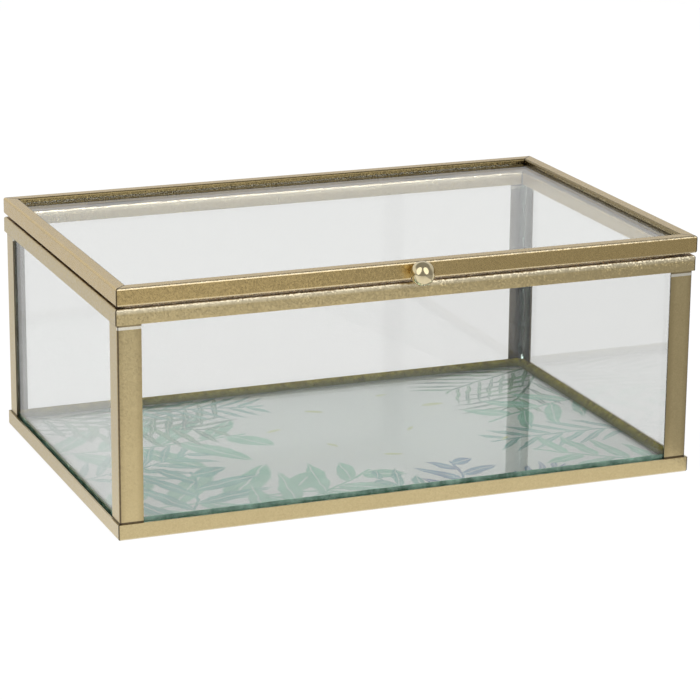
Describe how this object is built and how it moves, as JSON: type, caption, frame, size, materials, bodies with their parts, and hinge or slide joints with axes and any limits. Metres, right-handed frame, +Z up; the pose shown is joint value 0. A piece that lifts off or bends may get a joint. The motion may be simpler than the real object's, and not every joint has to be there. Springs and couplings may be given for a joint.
{
  "type": "jewelry box",
  "caption": "Shallow rectangular glass jewelry box in a soldered gilt metal frame, with a hinged glass lid, a ball knob and a patterned card under its bottom glass.",
  "frame": {"origin": "middle of the whole box seen from above, knob and hinges included, at the height of the surface that it stands on", "axes": "+X to the right along the front (the side with the knob), +Y from the front to the hinges at the back, +Z up"},
  "size_m": [0.15, 0.1074, 0.0623],
  "materials": {
    "gilt_frame": "champagne gold paint on folded sheet metal, finely speckled, satin",
    "clear_glass": "clear float glass, green at its cut edges",
    "clear_sealant": "clear silicone sealant, slightly cloudy",
    "knob_brass": "polished, lacquered",
    "hinge_brass": "plain, dulled",
    "printed_card": "matt printed face with a pattern of leafy sprigs"
  },
  "bodies": {
    "case": {"bottom_rail_front": "gilt_frame", "bottom_rail_right": "gilt_frame", "bottom_rail_back": "gilt_frame", "bottom_rail_left": "gilt_frame", "print_card": "printed_card", "bottom_glass": "clear_glass", "corner_post_front_left": "gilt_frame", "corner_post_front_right": "gilt_frame", "corner_post_back_right": "gilt_frame", "corner_post_back_left": "gilt_frame", "glass_front": "clear_glass", "glass_right": "clear_glass", "glass_back": "clear_glass", "glass_left": "clear_glass", "bottom_seal_front": "clear_sealant", "bottom_seal_right": "clear_sealant", "bottom_seal_back": "clear_sealant", "bottom_seal_left": "clear_sealant", "corner_seal_front_left": "clear_sealant", "corner_seal_front_right": "clear_sealant", "corner_seal_back_right": "clear_sealant", "corner_seal_back_left": "clear_sealant", "top_rail_front": "gilt_frame", "top_rail_right": "gilt_frame", "top_rail_back": "gilt_frame", "top_rail_left": "gilt_frame", "hinge_left_case_leaf": "hinge_brass", "hinge_left_pin": "hinge_brass", "hinge_right_case_leaf": "hinge_brass", "hinge_right_pin": "hinge_brass"},
    "lid": {"hinge_left_lid_leaf": "hinge_brass", "hinge_right_lid_leaf": "hinge_brass", "lid_rail_front": "gilt_frame", "lid_rail_right": "gilt_frame", "lid_rail_back": "gilt_frame", "lid_rail_left": "gilt_frame", "lid_bed": "clear_sealant", "lid_glass": "clear_glass", "knob": "knob_brass"}
  },
  "joints": [
    {"name": "lid_hinge", "type": "hinge", "parent": "case", "child": "lid", "pos_m": [0, 0.05162, 0.05675], "axis": [-1, 0, 0], "range_deg": [0, 105]}
  ]
}
